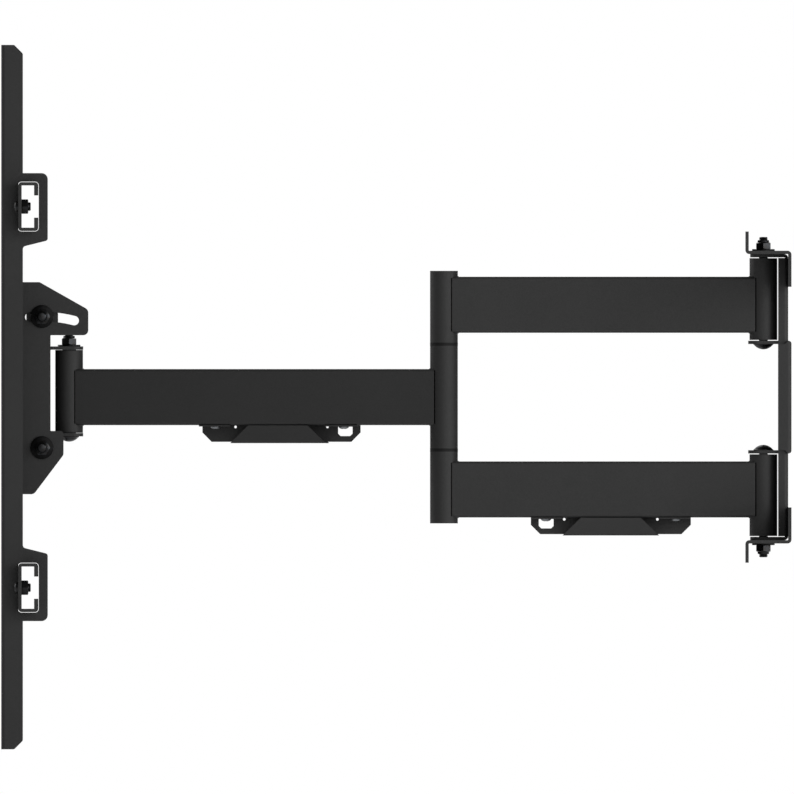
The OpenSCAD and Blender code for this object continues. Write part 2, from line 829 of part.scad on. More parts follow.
// The lock bolt's slot, an arc about the tilt axis
module tilt_slot() {
    spare = 0.3; // degrees past each end of the tilt
    half_width = bolt_radius + bolt_gap;
    far = 1.1 * (tilt_lock_radius + half_width);
    ends = [-tilt_up - spare, tilt_down + spare];
    translate([tilt_y, tilt_z]) {
        intersection() {
            difference() {
                circle(tilt_lock_radius + half_width, $fn = 180);
                circle(tilt_lock_radius - half_width, $fn = 180);
            }
            polygon([[0, 0], for (a = ends) far * [sin(a), cos(a)]]);
        }
        for (a = ends) translate(tilt_lock_radius * [sin(a), cos(a)]) circle(half_width);
    }
}

// Folded post: a front flange that carries the rails, and a side plate with the tilt lobes
module tilt_plate() {
    clear_of_rail = 2.5;
    post_half = tv_rail_height + tv_rail_tall / 2 + clear_of_rail;
    leg_half = tv_rail_height - tv_rail_tall / 2 - clear_of_rail;
    leg_back = post_front + post_leg;
    leg_overlap = 2; // of the lobes with the leg they grow out of
    post_corner = 6;
    flange_end = tilt_plate_x + post_flange;
    flange_start = tilt_plate_outside + bend;
    waist_y = tilt_y + waist_reach;
    lock_lobe_y = tilt_y + lock_lobe_reach;
    lock_lobe_top = tilt_lock_z + lock_lobe_above;
    lock_lobe_low = tilt_lock_z - lock_lobe_below;
    axis_lobe_y = tilt_y + axis_lobe_reach;
    axis_lobe_top = tilt_z + axis_lobe_above;
    axis_lobe_low = tilt_z - axis_lobe_below;
    angle = folded_sheet([
        [tilt_plate_x, leg_back], [tilt_plate_x, post_front], [flange_end, post_front]
    ]);
    lobes = rounded_outline([
        [leg_back - leg_overlap, lock_lobe_top, 0],
        [tilt_y - lock_slope_start, lock_lobe_top, 3.5],
        [lock_lobe_y, tilt_lock_z + lock_slope_end, 5], [lock_lobe_y, lock_lobe_low, 4.5],
        [waist_y, lock_lobe_low, 1], [waist_y, axis_lobe_top, 1],
        [axis_lobe_y, axis_lobe_top, 3], [axis_lobe_y, tilt_z - axis_slope_start, 5],
        [tilt_y - axis_slope_end, axis_lobe_low, 5],
        [leg_back - leg_overlap, axis_lobe_low, 0]
    ]);
    color("#353535") difference() {
        union() {
            along_z(-leg_half, leg_half) polygon(angle);
            along_y(post_front, tv_rail_front) translate([(flange_start + flange_end) / 2, 0])
                rounded_rectangle([flange_end - flange_start, 2 * post_half], post_corner);
            along_x(tilt_plate_x, tilt_plate_outside) polygon(lobes);
        }
        along_x(tilt_plate_x - cut, tilt_plate_outside + cut) {
            tilt_slot();
            translate([tilt_y, tilt_z]) circle(bolt_radius + running_fit);
        }
        along_y(post_front - cut, tv_rail_front + cut) for (side = [-1, 1])
            translate([rail_bolt_x, side * tv_rail_height]) circle(bolt_radius + bolt_gap);
    }
}

// Channel that opens towards the wall, with thick lips
module tv_rail() {
    lip = 3.8;
    mouth = 20;
    inside_deep = tv_rail_deep - tv_rail_wall - lip;
    inside_y = tv_rail_front + tv_rail_wall + inside_deep / 2;
    bolts = [for (side = [-1, 1], x = [rail_bolt_x, stop_screw_x]) side * x];
    color("#353535") translate([0, 0, tv_rail_height]) difference() {
        along_x(-tv_rail_length / 2, tv_rail_length / 2) difference() {
            translate([(tv_rail_front + tv_rail_back) / 2, 0])
                rounded_rectangle([tv_rail_deep, tv_rail_tall], rail_corner);
            translate([inside_y, 0])
                square([inside_deep, tv_rail_tall - 2 * tv_rail_wall], center = true);
            translate([tv_rail_back, 0]) square([3 * lip, mouth], center = true);
        }
        along_y(tv_rail_front - cut, tv_rail_front + tv_rail_wall + cut) for (x = bolts)
            translate([x, 0]) circle(bolt_radius + bolt_gap);
    }
}

// Places a piece that points along +Z in the screen rails, pointing at the wall from y
module in_tv_rails(x, y) {
    both_sides() above_and_below()
        translate([x, y, tv_rail_height]) rotate([-90, 0, 0]) children();
}

module rail_bolts() {
    color("#202020") in_tv_rails(rail_bolt_x, post_front)
        coach_bolt(sheet + tv_rail_wall, nut_height + rail_bolt_tip);
}

module rail_nuts() {
    color("#202020") in_tv_rails(rail_bolt_x, tv_rail_front + tv_rail_wall) plain_nut();
}

// They keep the screen brackets from sliding off the rails
module stop_screws() {
    color("#202020") in_tv_rails(stop_screw_x, tv_rail_front) {
        cylinder(r = bolt_radius, h = tv_rail_wall + nut_height + rail_bolt_tip);
        translate([0, 0, -stop_head_height]) cylinder(r = stop_head_radius, h = stop_head_height);
    }
}

module stop_nuts() {
    color("#202020") in_tv_rails(stop_screw_x, tv_rail_front + tv_rail_wall) plain_nut();
}

// Upright channel that slides on the rails through a window in each hook
module tv_bracket() {
    half = bracket_width / 2;
    top = bracket_height / 2;
    corner = 7.8; // cut off each end's back corner
    hook_wall = 8.5; // of a hook behind and below the rail it hangs on
    hook_wall_above = 8.1;
    hook_run_in = 5.6; // slope from a hook back to the channel
    hook_back = tv_rail_back + hook_wall;
    hook_top = tv_rail_height + tv_rail_tall / 2 + hook_wall_above;
    hook_bottom = tv_rail_height - tv_rail_tall / 2 - hook_wall;
    section = folded_sheet([
        [-half, hook_back], [-half, bracket_front], [half, bracket_front], [half, hook_back]
    ]);
    upper_half = [
        [bracket_back, hook_bottom - hook_run_in, 3], [hook_back, hook_bottom, 2.5],
        [hook_back, hook_top, 5.5], [bracket_back, hook_top, 0],
        [bracket_back, top - corner, 2.5], [bracket_back - corner, top, 2.5],
        [bracket_front, top, 0]
    ];
    lower_half = [for (i = [len(upper_half) - 1:-1:0])
        [upper_half[i].x, -upper_half[i].y, upper_half[i].z]];
    holes = floor((top - screen_hole_diameter) / screen_hole_pitch);
    slot_share = 0.34; // of the hole pitch that each slot between two holes takes
    slot_length = slot_share * screen_hole_pitch;
    color("#353535") translate([bracket_x, 0, 0]) difference() {
        intersection() {
            along_z(-top, top) polygon(section);
            along_x(-half, half) polygon(rounded_outline(concat(upper_half, lower_half)));
        }
        above_and_below() along_x(-half - cut, half + cut)
            translate([(tv_rail_front + tv_rail_back) / 2, tv_rail_height]) rounded_rectangle(
                [tv_rail_deep + 2 * rail_gap, tv_rail_tall + 2 * rail_gap], rail_corner + rail_gap
            );
        above_and_below() along_y(bracket_front - cut, bracket_front + sheet + cut)
            for (i = [1:holes]) {
                translate([0, i * screen_hole_pitch]) circle(d = screen_hole_diameter);
                translate([0, (i - 0.5) * screen_hole_pitch]) rotate(90)
                    slot(slot_length, screen_hole_diameter);
            }
    }
}

// ---- The assembly ----

wall_rail();  // wall_rail_upper
mirror([0, 0, 1]) wall_rail();  // wall_rail_lower
wall_column();  // wall_column_right
left_side() wall_column();  // wall_column_left
wall_tie_plate();
wall_pivot_bolts();
wall_pivot_washers();
wall_pivot_nuts();
rear_arm_upper();  // rear_arm_upper_right
rear_arm_lower();  // rear_arm_lower_right
rear_bushings();  // rear_bushings_right
elbow_pin();  // elbow_pin_right
elbow_caps();  // elbow_caps_right
rear_cable_tray();  // rear_cable_tray_right
rear_tray_screws();  // rear_tray_screws_right
left_side() rear_arm_upper();  // rear_arm_upper_left
left_side() rear_arm_lower();  // rear_arm_lower_left
left_side() rear_bushings();  // rear_bushings_left
left_side() elbow_pin();  // elbow_pin_left
left_side() elbow_caps();  // elbow_caps_left
left_side() rear_cable_tray();  // rear_cable_tray_left
left_side() rear_tray_screws();  // rear_tray_screws_left
front_arm();  // front_arm_right
elbow_bushings();  // elbow_bushings_right
head_bushings();  // head_bushings_right
front_cable_tray();  // front_cable_tray_right
front_tray_screws();  // front_tray_screws_right
left_side() front_arm();  // front_arm_left
left_side() elbow_bushings();  // elbow_bushings_left
left_side() front_cable_tray();  // front_cable_tray_left
left_side() front_tray_screws();  // front_tray_screws_left
head_bracket();
head_pivot_bolts();
head_pivot_washers();
head_pivot_nuts();
head_pivot_sleeve();
tilt_bolts();
tilt_friction_discs();
tilt_washers();
tilt_nuts();
tilt_plate();  // tilt_plate_right
left_side() tilt_plate();  // tilt_plate_left
tv_rail();  // tv_rail_upper
mirror([0, 0, 1]) tv_rail();  // tv_rail_lower
rail_bolts();
rail_nuts();
stop_screws();
stop_nuts();
tv_bracket();  // tv_bracket_right
left_side() tv_bracket();  // tv_bracket_left
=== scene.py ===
import math

import bmesh
import bpy
from mathutils import Matrix, Vector


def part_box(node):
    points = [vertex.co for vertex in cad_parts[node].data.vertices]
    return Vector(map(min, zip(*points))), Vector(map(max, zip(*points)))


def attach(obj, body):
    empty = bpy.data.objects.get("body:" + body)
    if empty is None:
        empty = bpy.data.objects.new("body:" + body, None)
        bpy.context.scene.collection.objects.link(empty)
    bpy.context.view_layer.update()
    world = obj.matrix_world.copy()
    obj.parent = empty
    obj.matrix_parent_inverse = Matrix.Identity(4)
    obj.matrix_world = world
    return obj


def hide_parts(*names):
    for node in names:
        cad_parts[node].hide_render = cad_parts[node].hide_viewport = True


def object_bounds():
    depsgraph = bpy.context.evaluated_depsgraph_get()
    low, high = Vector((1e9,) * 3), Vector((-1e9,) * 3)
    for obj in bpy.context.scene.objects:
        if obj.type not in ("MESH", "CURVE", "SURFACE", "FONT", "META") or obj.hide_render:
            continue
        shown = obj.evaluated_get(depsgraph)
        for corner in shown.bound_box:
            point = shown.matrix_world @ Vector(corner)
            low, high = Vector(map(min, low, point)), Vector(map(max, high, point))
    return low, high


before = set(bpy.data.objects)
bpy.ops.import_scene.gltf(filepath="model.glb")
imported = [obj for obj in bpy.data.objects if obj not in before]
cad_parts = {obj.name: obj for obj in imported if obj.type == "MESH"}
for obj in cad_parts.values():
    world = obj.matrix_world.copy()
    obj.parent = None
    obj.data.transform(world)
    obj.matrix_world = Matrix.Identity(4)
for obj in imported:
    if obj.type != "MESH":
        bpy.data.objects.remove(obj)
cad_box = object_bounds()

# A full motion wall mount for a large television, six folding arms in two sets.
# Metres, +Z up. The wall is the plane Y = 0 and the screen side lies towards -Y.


# ---- Wall frame: two rails, two columns and a tie plate ----
# 3 mm mild steel, laser cut and folded on a press brake, then powder coated black.
# The four pivot bolts clamp it together, and lag screws hold it to the wall.

MM = 0.001
SAME_SPOT = 0.001 * MM  # corners nearer than this are one corner


def linear(colour):
    """An sRGB hex colour as the linear values a shader socket takes."""
    channels = [int(colour[i:i + 2], 16) / 255 for i in (1, 3, 5)]
    return [c / 12.92 if c <= 0.04045 else ((c + 0.055) / 1.055) ** 2.4 for c in channels] + [1.0]


def add_node(tree, kind, inputs=None, links=None, **settings):
    """Adds a node, sets its settings and inputs, and links its inputs to (node, output) pairs."""
    node = tree.nodes.new(kind)
    for name, value in settings.items():
        setattr(node, name, value)
    for name, value in (inputs or {}).items():
        node.inputs[name].default_value = value
    for name, (source, output) in (links or {}).items():
        tree.links.new(source.outputs[output], node.inputs[name])
    return node


def new_material(name):
    """An empty material and its node tree."""
    material = bpy.data.materials.new(name)
    material.use_nodes = True
    material.node_tree.nodes.clear()
    return material, material.node_tree


def powder_coat(name, thin, thick):
    """Polyester powder coat, cured to a fine matt grain: dark, with a soft even sheen."""
    material, tree = new_material(name)
    place = add_node(tree, "ShaderNodeTexCoord")
    # Slow change of shade where the powder lies thicker, about 70 mm across
    cloud = add_node(tree, "ShaderNodeTexNoise", {"Scale": 1 / (70 * MM), "Detail": 2.0},
                     {"Vector": (place, "Object")})
    # The grain of the cured powder; the real one is 0.3 mm and is drawn at 0.9 mm to show
    grain = add_node(tree, "ShaderNodeTexNoise",
                     {"Scale": 1 / (0.9 * MM), "Detail": 2.0, "Roughness": 0.6},
                     {"Vector": (place, "Object")})
    # Orange peel, 5 mm across
    peel = add_node(tree, "ShaderNodeTexNoise", {"Scale": 1 / (5 * MM), "Detail": 1.0},
                    {"Vector": (place, "Object")})
    shade = add_node(tree, "ShaderNodeValToRGB", links={"Fac": (cloud, "Fac")})
    shade.color_ramp.elements[0].position = 0.3
    shade.color_ramp.elements[0].color = linear(thin)
    shade.color_ramp.elements[1].position = 0.7
    shade.color_ramp.elements[1].color = linear(thick)
    gloss = add_node(tree, "ShaderNodeMapRange",
                     {"From Min": 0.3, "From Max": 0.7, "To Min": 0.58, "To Max": 0.7},
                     {"Value": (grain, "Fac")})
    coarse = add_node(tree, "ShaderNodeBump", {"Strength": 0.25, "Distance": 0.05 * MM},
                      {"Height": (peel, "Fac")})
    fine = add_node(tree, "ShaderNodeBump", {"Strength": 0.35, "Distance": 0.04 * MM},
                    {"Height": (grain, "Fac"), "Normal": (coarse, "Normal")})
    coat = add_node(tree, "ShaderNodeBsdfPrincipled", {"IOR": 1.5, "Metallic": 0.0},
                    {"Base Color": (shade, "Color"), "Roughness": (gloss, "Result"),
                     "Normal": (fine, "Normal")})
    add_node(tree, "ShaderNodeOutputMaterial", links={"Surface": (coat, "BSDF")})
    return material


def smooth_by_angle(degrees):
    """Geometry nodes that shade smooth up to an angle, so that only true edges stay sharp."""
    tree = bpy.data.node_groups.new(f"smooth_up_to_{degrees}_degrees", "GeometryNodeTree")
    tree.interface.new_socket("Geometry", in_out="INPUT", socket_type="NodeSocketGeometry")
    tree.interface.new_socket("Geometry", in_out="OUTPUT", socket_type="NodeSocketGeometry")
    shape = add_node(tree, "NodeGroupInput")
    faces = add_node(tree, "GeometryNodeSetShadeSmooth", {"Shade Smooth": True},
                     {"Geometry": (shape, "Geometry")}, domain="FACE")
    turn = add_node(tree, "GeometryNodeInputMeshEdgeAngle")
    flat = add_node(tree, "FunctionNodeCompare", {"B": math.radians(degrees)},
                    {"A": (turn, "Unsigned Angle")}, data_type="FLOAT", operation="LESS_EQUAL")
    edges = add_node(tree, "GeometryNodeSetShadeSmooth",
                     links={"Geometry": (faces, "Geometry"), "Shade Smooth": (flat, "Result")},
                     domain="EDGE")
    add_node(tree, "NodeGroupOutput", links={"Geometry": (edges, "Geometry")})
    return tree


smoothing = smooth_by_angle(35)


def finish_node(name, material, edge):
    """Gives a CAD node its material and the small radius that its coat or mould leaves on edges."""
    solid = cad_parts[name]
    solid.data.materials.clear()
    solid.data.materials.append(material)
    weld = solid.modifiers.new("one_skin", "WELD")
    weld.merge_threshold = SAME_SPOT
    if edge:
        flat = solid.modifiers.new("whole_faces", "DECIMATE")
        flat.decimate_type = "DISSOLVE"
        flat.angle_limit = math.radians(0.5)
        rounding = solid.modifiers.new("rounded_edges", "BEVEL")
        rounding.limit_method = "ANGLE"
        rounding.angle_limit = math.radians(40)
        rounding.width = edge
        rounding.segments = 2
        rounding.use_clamp_overlap = True
        rounding.miter_outer = "MITER_ARC"
    shading = solid.modifiers.new("smooth_shading", "NODES")
    shading.node_group = smoothing
    if edge:
        normals = solid.modifiers.new("face_weighted", "WEIGHTED_NORMAL")
        normals.keep_sharp = True
    return solid


frame_coat = powder_coat("black_polyester_powder_coat_wall_frame", "#131313", "#171717")
for name in ("wall_rail_upper", "wall_rail_lower", "wall_column_right", "wall_column_left",
             "wall_tie_plate"):
    finish_node(name, frame_coat, 0.35 * MM)


# ---- Wall pivots: coach bolts, washers and nylon lock nuts ----
# M8 cold-headed steel, zinc plated and passivated black, one at each of the four pivots.
# The low round heads sit between the ears, the nuts outside the rails.

def zinc_plate(name, colours):
    """Zinc plate in its passivate: a dull metal with a faint bloom, sharp where a lamp meets it."""
    material, tree = new_material(name)
    place = add_node(tree, "ShaderNodeTexCoord")
    # Cloudy bloom of the passivate, 3 mm across
    bloom = add_node(tree, "ShaderNodeTexNoise", {"Scale": 1 / (3 * MM), "Detail": 3.0},
                     {"Vector": (place, "Object")})
    # Tool marks and plating grain, 0.4 mm
    grain = add_node(tree, "ShaderNodeTexNoise", {"Scale": 1 / (0.4 * MM), "Detail": 2.0},
                     {"Vector": (place, "Object")})
    tint = add_node(tree, "ShaderNodeValToRGB", links={"Fac": (bloom, "Fac")})
    tint.color_ramp.elements[0].position = 0.25
    tint.color_ramp.elements[0].color = linear(colours[0])
    tint.color_ramp.elements[1].position = 0.75
    tint.color_ramp.elements[1].color = linear(colours[1])
    gloss = add_node(tree, "ShaderNodeMapRange",
                     {"From Min": 0.3, "From Max": 0.7, "To Min": 0.24, "To Max": 0.36},
                     {"Value": (grain, "Fac")})
    marks = add_node(tree, "ShaderNodeBump", {"Strength": 0.2, "Distance": 0.02 * MM},
                     {"Height": (grain, "Fac")})
    plate = add_node(tree, "ShaderNodeBsdfPrincipled", {"Metallic": 1.0},
                     {"Base Color": (tint, "Color"), "Roughness": (gloss, "Result"),
                      "Normal": (marks, "Normal")})
    add_node(tree, "ShaderNodeOutputMaterial", links={"Surface": (plate, "BSDF")})
    return material


def moulded_nylon(name, colour, rough):
    """Injection moulded nylon: near black, with the even dull skin of a spark-eroded mould."""
    material, tree = new_material(name)
    place = add_node(tree, "ShaderNodeTexCoord")
    # Mould texture, 0.5 mm
    skin = add_node(tree, "ShaderNodeTexNoise", {"Scale": 1 / (0.5 * MM), "Detail": 2.0},
                    {"Vector": (place, "Object")})
    shade = add_node(tree, "ShaderNodeMix", {"Factor": 0.12, "A": linear(colour)},
                     {"B": (skin, "Color")}, data_type="RGBA", blend_type="SOFT_LIGHT")
    gloss = add_node(tree, "ShaderNodeMapRange",
                     {"From Min": 0.3, "From Max": 0.7, "To Min": rough - 0.06,
                      "To Max": rough + 0.06}, {"Value": (skin, "Fac")})
    relief = add_node(tree, "ShaderNodeBump", {"Strength": 0.3, "Distance": 0.02 * MM},
                      {"Height": (skin, "Fac")})
    # Dry nylon filled with graphite gives back little of a lamp's light
    body = add_node(tree, "ShaderNodeBsdfPrincipled", {"IOR": 1.53, "Specular IOR Level": 0.2},
                    {"Base Color": (shade, "Result"), "Roughness": (gloss, "Result"),
                     "Normal": (relief, "Normal")})
    add_node(tree, "ShaderNodeOutputMaterial", links={"Surface": (body, "BSDF")})
    return material


def solids_of(node):
    """The separate solids of a CAD node, each as its lowest and highest corner."""
    shape = bmesh.new()
    shape.from_mesh(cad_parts[node].data)
    bmesh.ops.remove_doubles(shape, verts=shape.verts, dist=SAME_SPOT)
    unseen, found = set(shape.verts), []
    while unseen:
        front = [unseen.pop()]
        corners = list(front)
        while front:
            reached = {e.other_vert(v) for v in front for e in v.link_edges} & unseen
            unseen -= reached
            front = list(reached)
            corners += front
        spots = [v.co.copy() for v in corners]
        found.append((Vector([min(c[i] for c in spots) for i in range(3)]),
                      Vector([max(c[i] for c in spots) for i in range(3)])))
    shape.free()
    return sorted(found, key=lambda box: tuple(round(c, 4) for c in box[0]))


def seat(box, up, side):
    """Matrix that stands a piece in its box, +Z along up and +X along side, and its length."""
    up, side = Vector(up), Vector(side)
    low, high = box
    middle = (low + high) / 2
    reach = sum(abs(up[i]) * (high[i] - low[i]) for i in range(3)) / 2
    turned = Matrix((side, up.cross(side), up)).transposed().to_4x4()
    return Matrix.Translation(middle - up * reach) @ turned, 2 * reach


def skin_rings(shape, place, rings, close=True):
    """Skins a stack of rings of points, from the first to the last, and closes its ends."""
    rows = [[shape.verts.new(place @ Vector(p)) for p in ring] for ring in rings]
    count = len(rows[0])
    for low, high in zip(rows, rows[1:]):
        for i in range(count):
            j = (i + 1) % count
            shape.faces.new((low[i], low[j], high[j], high[i]))
    if close:
        shape.faces.new(list(reversed(rows[0])))
        shape.faces.new(rows[-1])


def circle(radius, height, steps=48):
    """A level ring of points round the Z axis."""
    return [(radius * math.cos(2 * math.pi * i / steps), radius * math.sin(2 * math.pi * i / steps),
             height) for i in range(steps)]


def turned_ring(shape, place, profile, steps=48):
    """A turned ring from its closed profile, a list of (radius, height) round the section."""
    rings = [circle(r, z, steps) for r, z in profile]
    skin_rings(shape, place, rings + [rings[0]], close=False)


def make_piece(name, shape, material, body, slot, *stands_for):
    """Makes the object, shades it smooth up to its true edges, hangs it on its body and hides the
    CAD nodes it stands for.
    """
    bmesh.ops.remove_doubles(shape, verts=shape.verts, dist=SAME_SPOT / 2)
    bmesh.ops.recalc_face_normals(shape, faces=shape.faces)
    mesh = bpy.data.meshes.new(name)
    shape.to_mesh(mesh)
    shape.free()
    mesh.materials.append(material)
    for face in mesh.polygons:
        face.use_smooth = True
    mesh.set_sharp_from_angle(angle=math.radians(33))
    piece = bpy.data.objects.new(name, mesh)
    bpy.context.scene.collection.objects.link(piece)
    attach(piece, body)
    if stands_for:
        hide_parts(*stands_for)
    return piece


BOLT_RADIUS = 3.95 * MM
THREAD_PITCH = 1.25 * MM


def threaded_tip(start, end, steps=40):
    """Rings of a rolled M8 thread between two heights, with a chamfered end."""
    depth, run_in, rings_a_turn = 0.5 * MM, 0.8 * MM, 9
    chamfer, slope = 1.0 * MM, 1.7
    rings, z = [], start
    while z < end:
        ring = []
        for i in range(steps):
            turn = i / steps
            phase = (z / THREAD_PITCH - turn) % 1
            groove = depth * (1 - abs(2 * phase - 1))
            fade = min(1, (z - start) / run_in)
            radius = min(BOLT_RADIUS - groove * fade, BOLT_RADIUS - chamfer + slope * (end - z))
            angle = 2 * math.pi * turn
            ring.append((radius * math.cos(angle), radius * math.sin(angle), z))
        rings.append(ring)
        z += THREAD_PITCH / rings_a_turn
    rings.append(circle(BOLT_RADIUS - 1.05 * MM, end, steps))
    return rings


def coach_bolt(shape, place, length):
    """Low round head at the foot, a plain shank, and a thread that shows past the nut."""
    head, rim, rise, thread = 9 * MM, 0.5 * MM, 4.8 * MM, 6 * MM
    steps, dome_rings = 40, 9
    ball = (head ** 2 + rise ** 2) / (2 * rise)
    dome = [(ball * math.sin(a), ball - ball * math.cos(a))
            for a in [math.asin(head / ball) * k / dome_rings for k in range(dome_rings)]]
    profile = [(max(r, 0.05 * MM), z) for r, z in dome]
    profile += [(head - 0.05 * MM, rise - rim), (head, rise - 0.5 * rim), (head - 0.15 * MM, rise),
                (BOLT_RADIUS + 0.3 * MM, rise), (BOLT_RADIUS, rise + 0.3 * MM)]
    rings = [circle(r, z, steps) for r, z in profile]
    rings += threaded_tip(length - thread, length, steps)
    skin_rings(shape, place, rings)


NUT_TALL = 6 * MM
NUT_BORE = 4.05 * MM
NUT_FLATS = 6.5 * MM  # from the axis to a flat


def hexagon(shape, place, top_rings):
    """A nut's hexagon, its corners cut by a 30 degree cone, more so on top; top rings close it."""
    steps, slope = 72, math.tan(math.radians(30))
    foot, face = NUT_FLATS - 0.35 * MM, NUT_FLATS - 0.9 * MM
    low, high = [], []
    for i in range(steps):
        angle = 2 * math.pi * i / steps
        radius = NUT_FLATS / math.cos((angle % (math.pi / 3)) - math.pi / 6)
        x, y = radius * math.cos(angle), radius * math.sin(angle)
        low.append((x, y, (radius - foot) * slope))
        high.append((x, y, NUT_TALL - (radius - face) * slope))
    rings = [circle(NUT_BORE + 0.4 * MM, 0.4 * MM, steps), circle(NUT_BORE + 0.9 * MM, 0, steps),
             circle(foot, 0, steps), low, high, circle(face, NUT_TALL, steps)]
    rings += [circle(radius, z, steps) for radius, z in top_rings]
    skin_rings(shape, place, rings + [rings[0]], close=False)


def lock_nut(shape, place, tall):
    """Hexagon with the crimped collar that grips the nylon ring."""
    collar = 5.2 * MM
    hexagon(shape, place, (
        (collar + 0.2 * MM, NUT_TALL + 0.1 * MM), (collar, NUT_TALL + 0.4 * MM),
        (collar - 0.02 * MM, tall - 0.7 * MM), (collar - 0.25 * MM, tall - 0.2 * MM),
        (collar - 0.65 * MM, tall), (collar - 0.95 * MM, tall - 0.1 * MM),
        (collar - 0.95 * MM, tall - 0.8 * MM), (NUT_BORE, tall - 0.8 * MM),
        (NUT_BORE, 0.4 * MM)))


def nylon_insert(shape, place, tall):
    """The locking ring inside a nut's collar."""
    top, outer = tall - 0.35 * MM, 4.2 * MM
    turned_ring(shape, place, [(outer, top - 0.5 * MM), (outer, top), (4.25 * MM, top + 0.05 * MM),
                               (3.98 * MM, top - 0.15 * MM), (3.98 * MM, top - 0.5 * MM)])


def washer(shape, place, thick, outer, inner):
    """Stamped washer: rounded where the punch came in, sharp on its other side."""
    soft = min(0.35 * MM, thick / 3)
    turned_ring(shape, place, [
        (inner, 0), (outer - 0.08 * MM, 0), (outer, 0.08 * MM), (outer, thick - soft),
        (outer - 0.3 * soft, thick - 0.3 * soft), (outer - soft, thick),
        (inner + 0.1 * MM, thick), (inner, thick - 0.1 * MM)], 64)


def every(node, aim, build, *sizes):
    """Builds a copy at each solid of a node; aim gives its +Z and +X from the solid's middle."""
    shape = bmesh.new()
    for box in solids_of(node):
        up, side = aim((box[0] + box[1]) / 2)
        place, length = seat(box, up, side)
        build(shape, place, length, *sizes)
    return shape


def outward_z(middle):
    return (0, 0, 1 if middle.z > 0 else -1), (1, 0, 0)


zinc = zinc_plate("black_passivated_zinc_plate", ("#2b2927", "#313336"))
# The washers are given a much darker metal than the nuts' zinc
washer_steel = zinc_plate("darker_washer_metal", ("#151514", "#1a1a1b"))
nylon = moulded_nylon("black_moulded_nylon", "#0d0d0d", 0.6)

make_piece("wall_pivot_coach_bolts", every("wall_pivot_bolts", outward_z, coach_bolt), zinc,
           "wall_frame", "black_zinc", "wall_pivot_bolts")
make_piece("wall_pivot_stamped_washers",
           every("wall_pivot_washers", outward_z, washer, 10.2 * MM, 4.2 * MM), washer_steel,
           "wall_frame", "black_zinc", "wall_pivot_washers")
make_piece("wall_pivot_lock_nuts", every("wall_pivot_nuts", outward_z, lock_nut), zinc,
           "wall_frame", "black_zinc", "wall_pivot_nuts")
make_piece("wall_pivot_nut_inserts", every("wall_pivot_nuts", outward_z, nylon_insert), nylon,
           "wall_frame", "nylon")


# ---- Rear arms: two welded arms a side, one over the other ----
# Rectangular steel tube, coped and MIG welded between two round barrels, powder coated black.
# The coat bridges the weld; the thin dark line at each side of the cope is painted shade, a
# near-black strip on the barrel.

arm_coat = powder_coat("black_polyester_powder_coat_arms", "#131313", "#171717")
sides = {"right": 1, "left": -1}
for side in sides:
    for tier in ("upper", "lower"):
        finish_node(f"rear_arm_{tier}_{side}", arm_coat, 0.4 * MM)
    finish_node(f"rear_bushings_{side}", nylon, None)

ARM_LOW = {"upper": 57.85 * MM, "lower": -108.35 * MM}  # underside of each tube
ARM_TALL = 50.5 * MM
BARREL_RADIUS = 12.5 * MM


def weld_bead(shape, axis, towards, height, up):
    """A fillet of overlapping puddles round a barrel, where the tube's top or bottom meets it."""
    sweep, pitch, size, count, steps = math.radians(80), 2.2 * MM, 0.6 * MM, 56, 10
    length = sweep * BARREL_RADIUS
    rings = []
    for k in range(count + 1):
        along = k / count
        angle = towards + sweep * (along - 0.5)
        ripple = 1 + 0.1 * math.cos(2 * math.pi * along * length / pitch)
        taper = min(1, 6 * along + 0.3, 6 * (1 - along) + 0.3)
        out = Vector((math.cos(angle), math.sin(angle), 0))
        middle = Vector((axis[0], axis[1], height)) + out * (BARREL_RADIUS + 0.2 * MM)
        radius = size * ripple * taper
        rings.append([middle + radius * (out * math.cos(t) + Vector((0, 0, up)) * math.sin(t))
                      for t in [2 * math.pi * i / steps for i in range(steps)]])
    skin_rings(shape, Matrix.Identity(4), rings)


def cope_groove_shade(shape, axis, towards, low, high):
    """A near-black strip on the barrel at each side of the tube's end: painted shade for the
    groove.
    """
    outside, inside = BARREL_RADIUS + 0.03 * MM, BARREL_RADIUS - 0.2 * MM
    start, sweep, steps = 54.2, 5.5, 4
    for side in (1, -1):
        turns = [towards + side * math.radians(start + sweep * k / steps)
                 for k in range(steps + 1)]
        outline = [(outside, t) for t in turns] + [(inside, t) for t in reversed(turns)]
        rings = [[(axis[0] + r * math.cos(t), axis[1] + r * math.sin(t), z) for r, t in outline]
                 for z in (low, high)]
        skin_rings(shape, Matrix.Identity(4), rings)


# Painted shade: near-black metal for the strips, standing for the shadow in the narrow groove at
# the cope
groove_painted_shade = zinc_plate("painted_shade_in_the_cope_groove", ("#090909", "#0d0d0c"))
GROOVE_END = 1.2 * MM  # from the tube's top or bottom

wall_pivot, elbow = {}, {}
for side in sides:
    low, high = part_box(f"rear_arm_upper_{side}")
    across = (low.x + high.x) / 2
    wall_pivot[side] = Vector((across, high.y - BARREL_RADIUS, 0))
    elbow[side] = Vector((across, low.y + BARREL_RADIUS, 0))
    beads, groove_shade = bmesh.new(), bmesh.new()
    for tier, foot in ARM_LOW.items():
        for axis, towards in ((wall_pivot[side], -math.pi / 2), (elbow[side], math.pi / 2)):
            weld_bead(beads, axis, towards, foot, -1)
            weld_bead(beads, axis, towards, foot + ARM_TALL, 1)
            cope_groove_shade(groove_shade, axis, towards, foot + GROOVE_END, foot + ARM_TALL - GROOVE_END)
    make_piece(f"rear_arm_welds_{side}", beads, arm_coat, f"rear_arms_{side}", "arm_coat")
    make_piece(f"rear_arm_cope_grooves_{side}", groove_shade, groove_painted_shade, f"rear_arms_{side}",
               "arm_coat")


# ---- Elbows: a steel pin in nylon bushings, closed with moulded caps ----
# The front arm's flanged bushings show as a dark ring between the barrels.
# The caps are pressed in flush with the barrels' ends.

